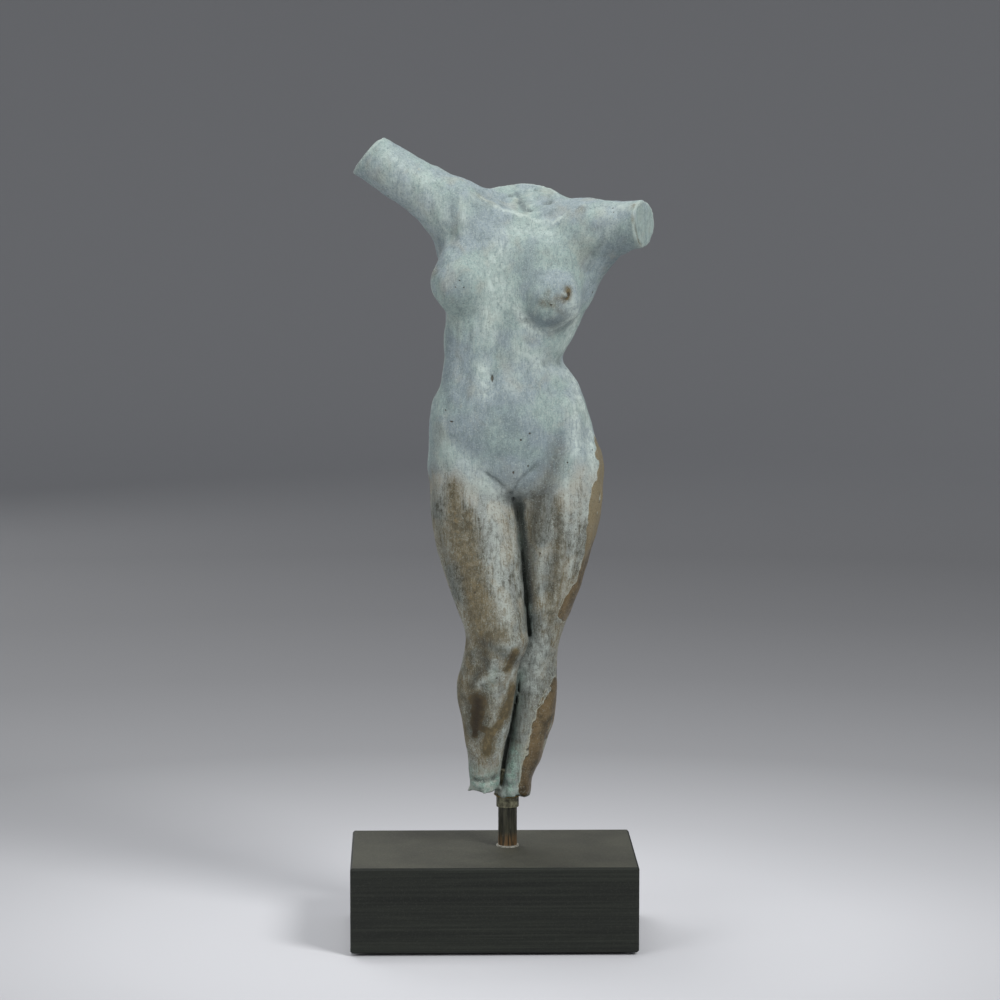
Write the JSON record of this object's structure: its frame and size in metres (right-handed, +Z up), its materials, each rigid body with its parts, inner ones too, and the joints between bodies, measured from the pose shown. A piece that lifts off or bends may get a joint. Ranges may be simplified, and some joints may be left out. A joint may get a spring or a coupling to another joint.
{
  "type": "bronze statuette",
  "caption": "Headless standing torso cast hollow in patinated bronze, fixed by a round post and a hidden nut to a dark stone block.",
  "frame": {"origin": "centre of the felt's underside, on the surface that the statuette stands on", "axes": "+Z up, the figure faces -Y, its left arm is on the +X side"},
  "size_m": [0.1588, 0.1, 0.4231],
  "materials": {
    "patinated_bronze": "matte blue-green and brown patina",
    "bare_bronze": "darkened bronze",
    "braze_metal": "bright braze",
    "post_bronze": "dark, with copper streaks",
    "nylon": "pale and matte",
    "dark_stone": "honed, green-black",
    "zinc_steel": "zinc plated",
    "felt": "black felt"
  },
  "bodies": {
    "root": {"figure_casting": "patinated_bronze", "core_plugs": "bare_bronze", "leg_boss": "bare_bronze", "braze_fillet": "braze_metal", "mounting_post": "post_bronze", "seat_washer": "nylon", "base_block": "dark_stone", "clamp_washer": "zinc_steel", "spring_washer": "zinc_steel", "fixing_nut": "zinc_steel", "felt_pad": "felt"}
  },
  "joints": []
}
